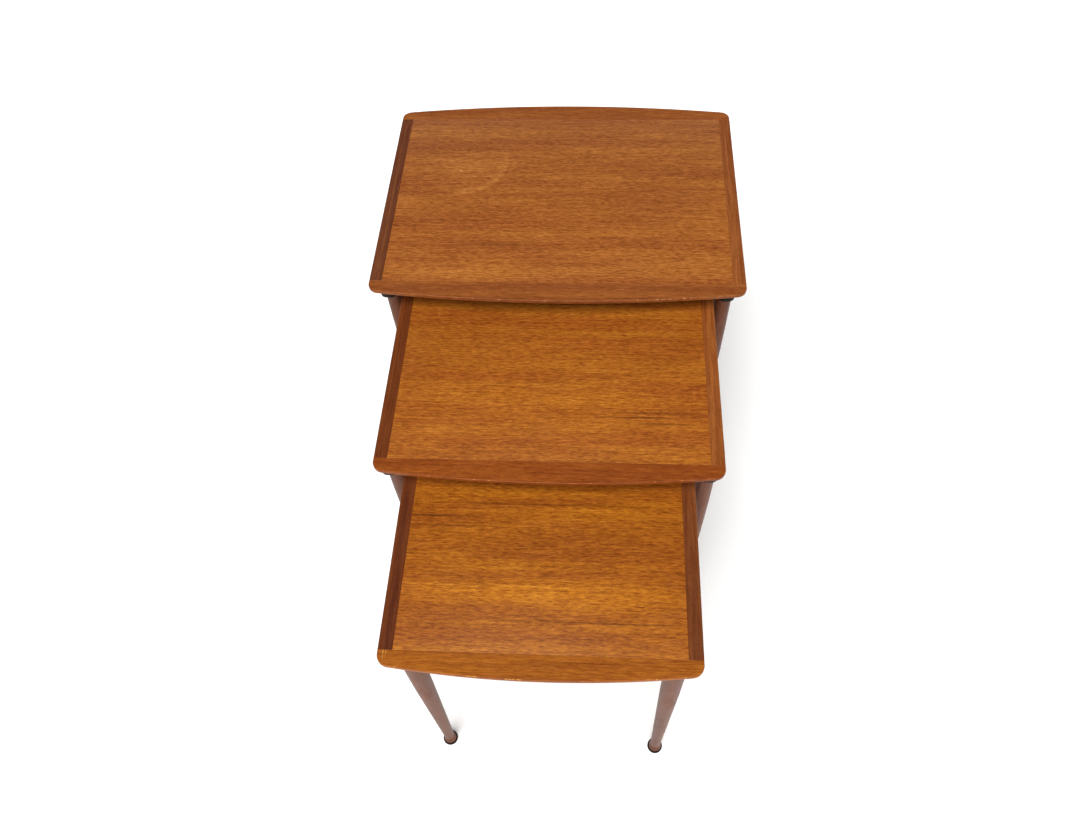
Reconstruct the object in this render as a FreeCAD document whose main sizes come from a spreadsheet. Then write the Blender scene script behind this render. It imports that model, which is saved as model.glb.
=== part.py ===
import FreeCAD, Part
import math
import os

import Sketcher
from FreeCAD import Placement, Rotation, Vector

# A nest of three occasional tables. Each smaller table slides forwards out from under the larger one.
# Every top is a veneered panel edged in solid wood: a bowed lip along the front and the back and a
# straight strip down each side, all undercut below a thin vertical edge. Under it, two dark rails run
# from front to back and carry four turned legs, with an apron between the legs at each side and the back.
#
# Frame: +Z up, the tables are pulled out towards -Y, and the origin is on the floor under the middle of
# the whole set as it stands pulled out. A front line joins the two front corners of a top.

SIZES = (
    # The largest table, over its top.
    ("large_width", 510.0),
    ("large_depth", 371.0),
    ("large_height", 520.0),
    # How far each front and back edge bows out past the line between its corners.
    ("large_bow", 16.0),
    ("middle_bow", 13.0),
    ("small_bow", 12.0),
    # The tops.
    ("top_thickness", 12.0),
    ("edge_height", 5.0),
    ("veneer_thickness", 0.6),
    ("corner_radius", 14.0),
    ("strip_width", 17.0),
    ("lip_depth", 17.0),
    # The legs: place of their axes, then their turned outline.
    ("large_leg_inset", 25.0),
    ("middle_leg_inset", 18.5),
    ("small_leg_inset", 24.5),
    ("large_leg_setback", 38.0),
    ("middle_leg_setback", 34.0),
    ("small_leg_setback", 30.0),
    ("leg_radius", 13.0),
    ("leg_parallel_margin", 15.0),
    ("leg_curve_length", 120.0),
    ("ankle_radius", 7.2),
    ("ankle_height", 16.0),
    ("foot_radius", 9.0),
    ("foot_height", 6.0),
    ("foot_chamfer", 0.5),
    ("tenon_radius", 7.0),
    # The frames under the tops.
    ("rail_width", 22.0),
    ("rail_height", 8.0),
    ("rail_setback", 4.0),
    ("rail_round", 8.0),
    ("apron_height", 45.0),
    ("apron_thickness", 18.0),
    ("rear_apron_thickness", 14.0),
    ("rear_apron_lead", 4.0),
    # Glides under the feet, and the nails through them.
    ("glide_radius", 11.0),
    ("glide_height", 4.0),
    ("nail_radius", 1.0),
    ("nail_reach", 14.0),
    ("nail_head_radius", 2.6),
    ("nail_head_height", 1.0),
    ("nail_recess", 0.4),
    # Screws up through the aprons into the tops, and dowels between aprons and legs.
    ("screw_radius", 1.75),
    ("screw_head_radius", 3.5),
    ("screw_head_height", 2.2),
    ("screw_grip", 18.0),
    ("screw_reach", 8.0),
    ("screw_from_leg", 50.0),
    ("screw_offset", 4.0),
    ("dowel_radius", 3.0),
    ("dowel_start", 5.0),
    ("dowel_length", 28.0),
    ("dowel_edge", 12.0),
    # Clearances.
    ("glue_gap", 0.1),
    ("pin_gap", 0.05),
    ("driver_gap", 0.75),
    ("bore_end_gap", 0.5),
    ("nest_side_gap", 2.0),
    ("nest_rear_gap", 2.0),
    ("nest_headroom", 13.0),
    # How far each table stands pulled out of the next larger one.
    ("middle_pull", 260.0),
    ("small_pull", 228.0),
)

doc = FreeCAD.newDocument("NestingTables")
sheet = doc.addObject("Spreadsheet::Sheet", "Sizes")
for row, (alias, size) in enumerate(SIZES, start=1):
    sheet.set(f"A{row}", alias)
    sheet.set(f"B{row}", str(size))
    sheet.setAlias(f"B{row}", alias)
doc.recompute()


def number(expression):
    """The value of an expression on the sheet's sizes."""
    return float(sheet.evalExpression(expression))


class Table:
    """One table's sizes and places, as expressions on the sheet. Plan places are from its own centre."""

    def __init__(self, name, width, depth, height, front_line):
        self.name = name
        self.width = width
        self.depth = depth
        self.height = height
        self.front_line = front_line
        self.bow = f"Sizes.{name}_bow"
        self.centre = f"({front_line} + {depth} / 2)"
        self.leg_x = f"({width} / 2 - Sizes.{name}_leg_inset)"
        self.leg_y = f"({depth} / 2 - Sizes.{name}_leg_setback)"
        self.top_underside = f"({height} - Sizes.top_thickness)"
        self.rail_underside = f"({height} - Sizes.top_thickness - Sizes.rail_height)"
        self.apron_underside = f"({self.rail_underside} - Sizes.apron_height)"
        self.rear_apron_y = f"({self.leg_y} - Sizes.rear_apron_lead + Sizes.rear_apron_thickness / 2)"
        self.core_half_width = f"({width} / 2 - Sizes.strip_width)"
        self.core_half_depth = f"({depth} / 2 - Sizes.lip_depth)"

    def next_inside(self, name):
        """The table that slides in under this one, clear of its legs, rails and rear apron."""
        bow = f"Sizes.{name}_bow"
        width = (f"({self.width} - 2 * (Sizes.{self.name}_leg_inset + Sizes.leg_radius"
                 f" + Sizes.nest_side_gap))")
        depth = (f"({self.depth} - Sizes.{self.name}_leg_setback - Sizes.rear_apron_lead"
                 f" - Sizes.nest_rear_gap - {bow})")
        height = f"({self.rail_underside} - Sizes.nest_headroom)"
        return Table(name, width, depth, height, f"({self.front_line} - Sizes.{name}_pull)")

    def legs(self):
        """The four legs: name, sign of x and sign of y."""
        return [(f"{end}_{side}_leg", sx, sy)
                for end, sy in (("front", -1), ("rear", 1)) for side, sx in (("left", -1), ("right", 1))]

    def side_screws(self):
        """Plan places of the screws up through the side aprons and the rails."""
        x = f"({self.leg_x} - Sizes.screw_offset)"
        y = f"({self.leg_y} - Sizes.screw_from_leg)"
        return [(f"{sx} * {x}", f"{sy} * {y}") for sx in (-1, 1) for sy in (-1, 1)]

    def rear_screws(self):
        """Plan places of the screws up through the rear apron."""
        return [(f"{sx} * ({self.leg_x} - Sizes.screw_from_leg)", self.rear_apron_y) for sx in (-1, 1)]

    def dowel_heights(self):
        """Heights of the two dowels across each joint between an apron and a leg."""
        return (f"({self.apron_underside} + Sizes.dowel_edge)", f"({self.rail_underside} - Sizes.dowel_edge)")


# ---------------------------------------------------------------- building blocks


def new_body(name, x="0", y="0", z="0", turn=0):
    """A body placed by three expressions, turned about its vertical axis by a number of degrees."""
    body = doc.addObject("PartDesign::Body", name)
    body.Label = name
    body.Placement = Placement(Vector(), Rotation(Vector(0, 0, 1), turn))
    bind_place(body, x, y, z)
    return body


def bind_place(item, x, y, z):
    """Tie an object's place to three expressions."""
    for axis, expression in zip("xyz", (x, y, z)):
        item.setExpression(f"Placement.Base.{axis}", expression)


def new_sketch(body, role="XY_Plane", offset=None):
    """A sketch on one of the body's own origin planes, moved along the plane's normal by offset."""
    sketch = body.newObject("Sketcher::SketchObject", f"{body.Name}_sketch")
    plane = next(item for item in body.Origin.OriginFeatures if item.Role == role)
    sketch.AttachmentSupport = (plane, [""])
    sketch.MapMode = "FlatFace"
    if offset is not None:
        sketch.setExpression("AttachmentOffset.Base.z", offset)
    return sketch


def bind(sketch, constraint, expression):
    """Add a dimension to a sketch and tie it to an expression."""
    index = sketch.addConstraint(constraint)
    sketch.setExpression(f"Constraints[{index}]", expression)


def fix_point(sketch, curve, end, x, y):
    """Hold one end of a curve at the place given by two expressions."""
    if x == "0":
        sketch.addConstraint(Sketcher.Constraint("PointOnObject", curve, end, -2))
    else:
        bind(sketch, Sketcher.Constraint("DistanceX", -1, 1, curve, end, number(x)), x)
    if y == "0":
        sketch.addConstraint(Sketcher.Constraint("PointOnObject", curve, end, -1))
    else:
        bind(sketch, Sketcher.Constraint("DistanceY", -1, 1, curve, end, number(y)), y)


def draw_outline(sketch, corners, arcs=None):
    """A closed outline through corners. arcs gives, for the side that leaves a corner, the expression of
    its radius and 1 if its centre lies to the left of the way round, -1 if to the right."""
    arcs = arcs or {}
    points = [Vector(number(x), number(y), 0) for x, y in corners]
    ends = []
    for index, start in enumerate(points):
        finish = points[(index + 1) % len(points)]
        if index in arcs:
            radius, side = arcs[index]
            sketch.addGeometry(arc_between(start, finish, number(radius), side))
            ends.append((1, 2) if side > 0 else (2, 1))
        else:
            sketch.addGeometry(Part.LineSegment(start, finish))
            ends.append((1, 2))
    for index, (x, y) in enumerate(corners):
        before = index - 1 if index else len(corners) - 1
        meet = Sketcher.Constraint("Coincident", before, ends[before][1], index, ends[index][0])
        sketch.addConstraint(meet)
        fix_point(sketch, index, ends[index][0], x, y)
    for index, (radius, _) in arcs.items():
        bind(sketch, Sketcher.Constraint("Radius", index, number(radius)), radius)
    return sketch


def arc_between(start, finish, radius, side):
    """The shorter arc of a radius between two points, with its centre to the left or right of the way."""
    chord = finish - start
    normal = Vector(-chord.y, chord.x, 0).normalize()
    reach = math.sqrt(radius ** 2 - (chord.Length / 2) ** 2)
    centre = (start + finish) / 2 + normal * reach * side
    first, last = (start, finish) if side > 0 else (finish, start)
    angles = [math.atan2(point.y - centre.y, point.x - centre.x) for point in (first, last)]
    if angles[1] < angles[0]:
        angles[1] += 2 * math.pi
    return Part.ArcOfCircle(Part.Circle(centre, Vector(0, 0, 1), radius), *angles)


def draw_rectangle(sketch, half_length, half_width):
    """A rectangle about the sketch's origin, half_length along x and half_width along y."""
    signs = ((-1, -1), (1, -1), (1, 1), (-1, 1))
    corners = [(f"{sx} * {half_length}", f"{sy} * {half_width}") for sx, sy in signs]
    return draw_outline(sketch, corners)


def draw_circles(sketch, centres, radius):
    """Equal circles at places given as pairs of expressions."""
    for index, (x, y) in enumerate(centres):
        centre = Vector(number(x), number(y), 0)
        sketch.addGeometry(Part.Circle(centre, Vector(0, 0, 1), number(radius)))
        fix_point(sketch, index, 3, x, y)
        bind(sketch, Sketcher.Constraint("Radius", index, number(radius)), radius)
    return sketch


def pad(body, sketch, length, side_type="One side"):
    """Raise a sketch into a solid."""
    feature = body.newObject("PartDesign::Pad", f"{body.Name}_pad")
    feature.Profile = sketch
    feature.SideType = side_type
    feature.setExpression("Length", length)
    doc.recompute()
    return feature


def cut(body, sketch, length):
    """Cut a sketch's outline to half a length on each side of its plane, and check that wood was removed."""
    before = body.Shape.Volume
    feature = body.newObject("PartDesign::Pocket", f"{body.Name}_cut")
    feature.Profile = sketch
    feature.SideType = "Symmetric"
    feature.setExpression("Length", length)
    doc.recompute()
    if not body.Shape.Volume < before:
        raise RuntimeError(f"{feature.Name} cuts nothing")
    return feature


def edges_where(shape, test):
    """Names of a shape's edges whose every vertex passes a test."""
    return [f"Edge{index}" for index, edge in enumerate(shape.Edges, start=1)
            if all(test(vertex.Point) for vertex in edge.Vertexes)]


def dress(body, kind, base, edges, prop, expression):
    """Fillet or chamfer some edges of the feature base."""
    feature = body.newObject(f"PartDesign::{kind}", f"{body.Name}_{kind.lower()}")
    feature.Base = (base, edges)
    feature.setExpression(prop, expression)
    doc.recompute()
    return feature


def cylinder(name, radius, length, x="0", y="0", z="0", rotation=None):
    """A plain cylinder with its base at a place, standing up unless it is rotated."""
    item = doc.addObject("Part::Cylinder", name)
    item.setExpression("Radius", radius)
    item.setExpression("Height", length)
    if rotation:
        item.Placement = Placement(Vector(), rotation)
    bind_place(item, x, y, z)
    return item


def combine(kind, name, pieces, x="0", y="0", z="0"):
    """Fuse pieces, or cut the later ones from the first, and place the result."""
    if kind == "fuse":
        item = doc.addObject("Part::MultiFuse", name)
        item.Shapes = pieces
    else:
        item = doc.addObject("Part::Cut", name)
        item.Base, item.Tool = pieces
    bind_place(item, x, y, z)
    return item


def group(name, pieces, table):
    """Separate equal solids kept together as one sub-part, placed with their table."""
    item = doc.addObject("Part::Compound", name)
    item.Label = name
    item.Links = pieces
    bind_place(item, "0", table.centre, "0")
    return item


# ---------------------------------------------------------------- the tops


def make_core(table):
    """The panel inside the edgings, with pilot holes for the screws in its underside."""
    body = new_body(f"{table.name}_top_core", y=table.centre, z=table.top_underside)
    outline = draw_rectangle(new_sketch(body), table.core_half_width, table.core_half_depth)
    pad(body, outline, "Sizes.top_thickness - Sizes.veneer_thickness")
    pilots = draw_circles(new_sketch(body), table.side_screws() + table.rear_screws(),
                          "Sizes.screw_radius + Sizes.pin_gap")
    cut(body, pilots, "2 * (Sizes.screw_reach + Sizes.bore_end_gap)")
    return body


def make_veneer(table):
    """The face veneer on the panel."""
    body = new_body(f"{table.name}_face_veneer", y=table.centre, z=f"{table.height} - Sizes.veneer_thickness")
    outline = draw_rectangle(new_sketch(body), table.core_half_width, table.core_half_depth)
    pad(body, outline, "Sizes.veneer_thickness")
    return body


def make_strip(table, side, sign):
    """A side strip: an undercut section run straight between the lips."""
    body = new_body(f"{table.name}_{side}_strip", x=f"{sign} * {table.width} / 2", y=table.centre,
                    z=table.top_underside)
    inner = f"{-sign} * Sizes.strip_width"
    undercut = f"{-sign} * (Sizes.top_thickness - Sizes.edge_height)"
    section = [("0", "Sizes.top_thickness"), ("0", "Sizes.top_thickness - Sizes.edge_height"),
               (undercut, "0"), (inner, "0"), (inner, "Sizes.top_thickness")]
    outline = draw_outline(new_sketch(body, "XZ_Plane"), section)
    pad(body, outline, f"2 * {table.core_half_depth}", "Symmetric")
    return body


def make_lip(table, end, turn):
    """A bowed lip with rounded corners, drawn as the front one and turned half round for the back."""
    body = new_body(f"{table.name}_{end}_lip", y=table.centre, z=table.top_underside, turn=turn)
    sketch = new_sketch(body)
    half_width = f"({table.width} / 2)"
    inner_line = f"(-1 * {table.core_half_depth})"
    corner = "min(Sizes.corner_radius; Sizes.lip_depth - 1)"
    bow_radius = f"(({half_width} ^ 2 + {table.bow} ^ 2) / (2 * {table.bow}))"
    bow_centre = f"({bow_radius} - {table.bow} - {table.depth} / 2)"
    places = (half_width, inner_line, corner, bow_radius, bow_centre)
    width, line_y, round_r, bow_r, bow_y = map(number, places)
    round_x = width - round_r
    round_y = bow_y - math.sqrt((bow_r - round_r) ** 2 - round_x ** 2)
    touch_x = round_x * bow_r / (bow_r - round_r)
    touch_y = bow_y + (round_y - bow_y) * bow_r / (bow_r - round_r)
    sketch.addGeometry([
        Part.LineSegment(Vector(width, line_y, 0), Vector(-width, line_y, 0)),
        Part.LineSegment(Vector(-width, line_y, 0), Vector(-width, round_y, 0)),
        arc_between(Vector(-width, round_y, 0), Vector(-touch_x, touch_y, 0), round_r, 1),
        arc_between(Vector(-touch_x, touch_y, 0), Vector(touch_x, touch_y, 0), bow_r, 1),
        arc_between(Vector(touch_x, touch_y, 0), Vector(width, round_y, 0), round_r, 1),
        Part.LineSegment(Vector(width, round_y, 0), Vector(width, line_y, 0)),
    ])
    for first, second in ((0, 1), (5, 0)):
        sketch.addConstraint(Sketcher.Constraint("Coincident", first, 2, second, 1))
    for first in range(1, 5):
        sketch.addConstraint(Sketcher.Constraint("Tangent", first, 2, first + 1, 1))
    for side in (1, 5):
        sketch.addConstraint(Sketcher.Constraint("Vertical", side))
    fix_point(sketch, 0, 1, half_width, inner_line)
    fix_point(sketch, 0, 2, f"(-1 * {half_width})", inner_line)
    sketch.addConstraint(Sketcher.Constraint("PointOnObject", 3, 3, -2))
    bind(sketch, Sketcher.Constraint("DistanceY", -1, 1, 3, 3, bow_y), bow_centre)
    for curve, radius in ((2, corner), (3, bow_radius), (4, corner)):
        bind(sketch, Sketcher.Constraint("Radius", curve, number(radius)), radius)
    blank = pad(body, sketch, "Sizes.top_thickness")
    under = edges_where(blank.Shape, lambda point: abs(point.z) < 0.001)
    joint = edges_where(blank.Shape, lambda point: abs(point.y - line_y) < 0.001)
    dress(body, "Chamfer", blank, [name for name in under if name not in joint], "Size",
          "Sizes.top_thickness - Sizes.edge_height")
    return body


# ---------------------------------------------------------------- the frames


def make_rail(table, side, sign):
    """A dark rail from front to back, with a hole for each leg's tenon and each screw."""
    body = new_body(f"{table.name}_{side}_rail", x=f"{sign} * {table.leg_x}", y=table.centre,
                    z=table.rail_underside)
    half_length = f"({table.depth} / 2 - Sizes.rail_setback)"
    outline = draw_rectangle(new_sketch(body), "Sizes.rail_width / 2", half_length)
    blank = pad(body, outline, "Sizes.rail_height")
    upright = [f"Edge{index}" for index, edge in enumerate(blank.Shape.Edges, start=1)
               if abs(edge.Vertexes[0].Z - edge.Vertexes[1].Z) > 0.001]
    dress(body, "Fillet", blank, upright, "Radius", "min(Sizes.rail_round; Sizes.rail_width / 2 - 1)")
    sockets = draw_circles(new_sketch(body), [("0", f"{sy} * {table.leg_y}") for sy in (-1, 1)],
                           "Sizes.tenon_radius + Sizes.glue_gap")
    cut(body, sockets, "3 * Sizes.rail_height")
    screw_y = f"({table.leg_y} - Sizes.screw_from_leg)"
    screws = [(f"{-sign} * Sizes.screw_offset", f"{sy} * {screw_y}") for sy in (-1, 1)]
    holes = draw_circles(new_sketch(body), screws, "Sizes.screw_radius + Sizes.pin_gap")
    cut(body, holes, "3 * Sizes.rail_height")
    return body


def make_apron(body, axes, shift, thickness, screws, tongue=None):
    """An apron along its body's x, scribed round the legs at both ends and drilled for screws and dowels.
    axes is the distance of each leg's axis from its middle, and shift how far off its mid plane they are.
    tongue is the half length of the part that stands up between the rails, if there is one."""
    pad(body, draw_rectangle(new_sketch(body), axes, f"{thickness} / 2"), "Sizes.apron_height")
    if tongue is not None:
        upper = new_sketch(body, offset="Sizes.apron_height")
        pad(body, draw_rectangle(upper, tongue, f"{thickness} / 2"), "Sizes.rail_height")
    leg_axes = [(f"{sign} * {axes}", shift) for sign in (-1, 1)]
    cut(body, draw_circles(new_sketch(body), leg_axes, "Sizes.leg_radius + Sizes.glue_gap"),
        "2 * (Sizes.apron_height + Sizes.glue_gap)")
    cut(body, draw_circles(new_sketch(body), screws, "Sizes.screw_radius + Sizes.pin_gap"),
        "3 * (Sizes.apron_height + Sizes.rail_height)")
    cut(body, draw_circles(new_sketch(body), screws, "Sizes.screw_head_radius + Sizes.driver_gap"),
        "2 * (Sizes.apron_height + Sizes.rail_height - Sizes.screw_grip)")
    heights = ("Sizes.dowel_edge", "Sizes.apron_height - Sizes.dowel_edge")
    for sign in (-1, 1):
        sketch = new_sketch(body, "YZ_Plane", f"{sign} * {axes}")
        places = [("0", level) for level in heights]
        bores = draw_circles(sketch, places, "Sizes.dowel_radius + Sizes.pin_gap")
        cut(body, bores, "2 * (Sizes.dowel_start + Sizes.dowel_length + Sizes.bore_end_gap)")
    return body


def make_side_apron(table, side, sign):
    """The apron between the front and the rear leg of one side, under the rail."""
    body = new_body(f"{table.name}_{side}_apron", x=f"{sign} * {table.leg_x}", y=table.centre,
                    z=table.apron_underside, turn=90)
    screw_x = f"({table.leg_y} - Sizes.screw_from_leg)"
    screws = [(f"{end} * {screw_x}", f"{sign} * Sizes.screw_offset") for end in (-1, 1)]
    return make_apron(body, table.leg_y, "0", "Sizes.apron_thickness", screws)


def make_rear_apron(table):
    """The apron between the rear legs, with a tongue that reaches up to the top between the rails."""
    body = new_body(f"{table.name}_rear_apron", y=f"{table.centre} + {table.rear_apron_y}",
                    z=table.apron_underside)
    screws = [(f"{end} * ({table.leg_x} - Sizes.screw_from_leg)", "0") for end in (-1, 1)]
    tongue = f"({table.leg_x} - Sizes.rail_width / 2 - Sizes.glue_gap)"
    shift = f"({table.leg_y} - {table.rear_apron_y})"
    return make_apron(body, table.leg_x, shift, "Sizes.rear_apron_thickness", screws, tongue)


def make_leg(table, name, sx, sy):
    """A turned leg: a rounded foot, an ankle, a straight taper, a long curve, a parallel length that the
    aprons meet, and a tenon through the rail. The curve runs on from the taper into the parallel length."""
    body = new_body(f"{table.name}_{name}", x=f"{sx} * {table.leg_x}",
                    y=f"{table.centre} + {sy} * {table.leg_y}")
    parallel_from = f"({table.apron_underside} - Sizes.leg_parallel_margin)"
    slope = (f"((Sizes.leg_radius - Sizes.ankle_radius)"
             f" / ({parallel_from} - Sizes.leg_curve_length / 2 - Sizes.ankle_height))")
    curve_gain = f"({slope} * Sizes.leg_curve_length / 2)"
    curve_radius = f"((Sizes.leg_curve_length ^ 2 + {curve_gain} ^ 2) / (2 * {curve_gain}))"
    foot_rise = "(Sizes.ankle_height - Sizes.foot_height)"
    foot_gain = "(Sizes.foot_radius - Sizes.ankle_radius)"
    foot_curve = f"(({foot_rise} ^ 2 + {foot_gain} ^ 2) / (2 * {foot_gain}))"
    bore = "Sizes.nail_radius + Sizes.pin_gap"
    bore_top = "Sizes.glide_height + Sizes.nail_reach + Sizes.bore_end_gap"
    tenon_top = f"{table.top_underside} - Sizes.bore_end_gap"
    corners = [
        ("0", bore_top),
        (bore, bore_top),
        (bore, "Sizes.glide_height"),
        ("Sizes.foot_radius - Sizes.foot_chamfer", "Sizes.glide_height"),
        ("Sizes.foot_radius", "Sizes.glide_height + Sizes.foot_chamfer"),
        ("Sizes.foot_radius", "Sizes.foot_height"),
        ("Sizes.ankle_radius", "Sizes.ankle_height"),
        (f"Sizes.leg_radius - {curve_gain}", f"{parallel_from} - Sizes.leg_curve_length"),
        ("Sizes.leg_radius", parallel_from),
        ("Sizes.leg_radius", table.rail_underside),
        ("Sizes.tenon_radius", table.rail_underside),
        ("Sizes.tenon_radius", tenon_top),
        ("0", tenon_top),
    ]
    outline = draw_outline(new_sketch(body, "XZ_Plane"), corners, {5: (foot_curve, 1), 7: (curve_radius, 1)})
    turning = body.newObject("PartDesign::Revolution", f"{body.Name}_turning")
    turning.Profile = outline
    turning.ReferenceAxis = (outline, ["V_Axis"])
    turning.Angle = 360
    doc.recompute()
    bore_leg(body, table, "XZ_Plane", sy, "0")
    if sy > 0:
        bore_leg(body, table, "YZ_Plane", -sx, f"({table.rear_apron_y} - {table.leg_y})")
    return body


def bore_leg(body, table, role, direction, across):
    """Two dowel bores into a leg from one side, along the normal of one of its upright planes."""
    inner = "(Sizes.dowel_start - Sizes.bore_end_gap)"
    outer = "(Sizes.leg_radius + 1)"
    places = [(across, level) for level in table.dowel_heights()]
    sketch = new_sketch(body, role, f"{direction} * ({inner} + {outer}) / 2")
    cut(body, draw_circles(sketch, places, "Sizes.dowel_radius + Sizes.pin_gap"), f"({outer} - {inner})")


# ---------------------------------------------------------------- glides and fasteners


def make_glides(table):
    """A hard disc under each foot, with a recessed nail hole."""
    glides = []
    for leg, sx, sy in table.legs():
        name = f"{table.name}_{leg}_glide"
        disc = cylinder(f"{name}_disc", "Sizes.glide_radius", "Sizes.glide_height")
        hole = cylinder(f"{name}_hole", "Sizes.nail_radius + Sizes.pin_gap", "Sizes.glide_height")
        recess = cylinder(f"{name}_recess", "Sizes.nail_head_radius + Sizes.pin_gap",
                          "Sizes.nail_recess + Sizes.nail_head_height")
        opening = combine("fuse", f"{name}_opening", [hole, recess])
        glides.append(combine("cut", name, [disc, opening], f"{sx} * {table.leg_x}", f"{sy} * {table.leg_y}"))
    return group(f"{table.name}_glides", glides, table)


def make_nails(table):
    """A round-headed nail up through each glide into the foot."""
    nails = []
    for leg, sx, sy in table.legs():
        name = f"{table.name}_{leg}_nail"
        head = cylinder(f"{name}_head", "Sizes.nail_head_radius", "Sizes.nail_head_height",
                        z="Sizes.nail_recess")
        shank = cylinder(f"{name}_shank", "Sizes.nail_radius",
                         "Sizes.glide_height + Sizes.nail_reach - Sizes.nail_recess", z="Sizes.nail_recess")
        nails.append(combine("fuse", name, [head, shank], f"{sx} * {table.leg_x}", f"{sy} * {table.leg_y}"))
    return group(f"{table.name}_glide_nails", nails, table)


def make_screws(table):
    """Screws up through the aprons, and through the rails at the sides, into the panel."""
    screws = []
    for index, (x, y) in enumerate(table.side_screws() + table.rear_screws(), start=1):
        name = f"{table.name}_top_screw_{index}"
        head = cylinder(f"{name}_head", "Sizes.screw_head_radius", "Sizes.screw_head_height",
                        z="-1 * Sizes.screw_head_height")
        shank = cylinder(f"{name}_shank", "Sizes.screw_radius", "Sizes.screw_grip + Sizes.screw_reach")
        screws.append(combine("fuse", name, [head, shank], x, y, f"{table.top_underside} - Sizes.screw_grip"))
    return group(f"{table.name}_top_screws", screws, table)


def make_dowels(table):
    """Two dowels across each joint between an apron and a leg."""
    dowels = []
    for leg, sx, sy in table.legs():
        joints = [("side", Rotation(Vector(1, 0, 0), 90 * sy), f"{sx} * {table.leg_x}",
                   f"{sy} * ({table.leg_y} - Sizes.dowel_start)")]
        if sy > 0:
            joints.append(("rear", Rotation(Vector(0, 1, 0), -90 * sx),
                           f"{sx} * ({table.leg_x} - Sizes.dowel_start)", table.rear_apron_y))
        for joint, rotation, x, y in joints:
            for index, level in enumerate(table.dowel_heights(), start=1):
                dowels.append(cylinder(f"{table.name}_{leg}_{joint}_dowel_{index}", "Sizes.dowel_radius",
                                       "Sizes.dowel_length", x, y, level, rotation))
    return group(f"{table.name}_apron_dowels", dowels, table)


def make_table(table):
    """Every sub-part of one table."""
    parts = [make_core(table), make_veneer(table), make_lip(table, "front", 0), make_lip(table, "rear", 180)]
    for side, sign in (("left", -1), ("right", 1)):
        parts += [make(table, side, sign) for make in (make_strip, make_rail, make_side_apron)]
    parts.append(make_rear_apron(table))
    parts += [make_leg(table, *leg) for leg in table.legs()]
    parts += [make_glides(table), make_nails(table), make_screws(table), make_dowels(table)]
    return parts


whole_pull = "Sizes.middle_pull + Sizes.small_pull"
large = Table("large", "Sizes.large_width", "Sizes.large_depth", "Sizes.large_height",
              f"(({whole_pull} + Sizes.small_bow - Sizes.large_depth - Sizes.large_bow) / 2)")
middle = large.next_inside("middle")
small = middle.next_inside("small")
subparts = [part for table in (large, middle, small) for part in make_table(table)]
doc.recompute()

for item in doc.Objects:
    if "Invalid" in item.State or "Error" in item.State:
        raise RuntimeError(f"{item.Name} failed: {item.State}")
for part in subparts:
    if part.Shape.isNull() or not part.Shape.isValid():
        raise RuntimeError(f"{part.Label} has no valid shape")

os.makedirs("parts", exist_ok=True)
for part in subparts:
    part.Shape.exportStep(f"parts/{part.Label}.step")
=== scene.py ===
import logging
import math
from dataclasses import dataclass, replace
from enum import Enum

import bmesh
import bpy
import numpy as np
from mathutils import Matrix, Vector


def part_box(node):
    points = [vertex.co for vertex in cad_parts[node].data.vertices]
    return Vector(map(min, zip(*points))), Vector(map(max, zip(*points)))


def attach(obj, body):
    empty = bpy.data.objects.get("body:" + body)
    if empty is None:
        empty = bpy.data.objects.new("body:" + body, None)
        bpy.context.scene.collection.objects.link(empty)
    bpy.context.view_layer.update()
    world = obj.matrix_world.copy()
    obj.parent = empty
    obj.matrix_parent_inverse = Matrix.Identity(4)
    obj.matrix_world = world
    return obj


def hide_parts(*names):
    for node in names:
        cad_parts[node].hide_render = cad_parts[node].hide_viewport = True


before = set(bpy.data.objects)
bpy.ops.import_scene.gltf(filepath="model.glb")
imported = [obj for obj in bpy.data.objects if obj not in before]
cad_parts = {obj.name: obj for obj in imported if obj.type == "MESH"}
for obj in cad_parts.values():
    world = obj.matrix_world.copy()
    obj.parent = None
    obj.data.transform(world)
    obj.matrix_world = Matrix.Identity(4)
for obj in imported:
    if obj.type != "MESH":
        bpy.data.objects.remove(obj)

# A nest of three occasional tables, pulled out towards -Y. Lengths are in metres unless a name says mm.
# Wood patterns are worked out in millimetres of the wood itself: along its grain, across it and into it.

MM = 0.001
SIDES = {"left": -1, "right": 1}
ENDS = {"front": -1, "rear": 1}
TABLES = ("large", "middle", "small")
Colour = tuple[float, float, float]
Body = tuple[np.ndarray, list[list[int]]]
log = logging.getLogger("nesting_tables")


# ---- shader maths


class Value:
    """A number, colour or vector that varies over a surface. Its operators add Math nodes."""

    def __init__(self, shader: "Shader", socket: bpy.types.NodeSocket) -> None:
        """Wrap a socket of a shader's tree."""
        self.shader = shader
        self.socket = socket

    def maths(self, operation: str, first: "Value | float", second: "Value | float" = 0.0) -> "Value":
        """A Math node with two inputs."""
        return self.shader.add("ShaderNodeMath", {"operation": operation}, {0: first, 1: second})

    def __add__(self, other: "Value | float") -> "Value":
        """The sum."""
        return self.maths("ADD", self, other)

    def __sub__(self, other: "Value | float") -> "Value":
        """The difference."""
        return self.maths("SUBTRACT", self, other)

    def __rsub__(self, other: "Value | float") -> "Value":
        """The difference, with this value taken away."""
        return self.maths("SUBTRACT", other, self)

    def __mul__(self, other: "Value | float") -> "Value":
        """The product."""
        return self.maths("MULTIPLY", self, other)

    def __truediv__(self, other: "Value | float") -> "Value":
        """The quotient."""
        return self.maths("DIVIDE", self, other)

    def __pow__(self, other: "Value | float") -> "Value":
        """The power."""
        return self.maths("POWER", self, other)

    __radd__ = __add__
    __rmul__ = __mul__

    def between(self, low: float, high: float) -> "Value":
        """A soft step from 0 at low to 1 at high, or down where low is the larger."""
        return self.shader.add("ShaderNodeMapRange", {"interpolation_type": "SMOOTHSTEP"},
                               {"Value": self, "From Min": low, "From Max": high})


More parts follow.
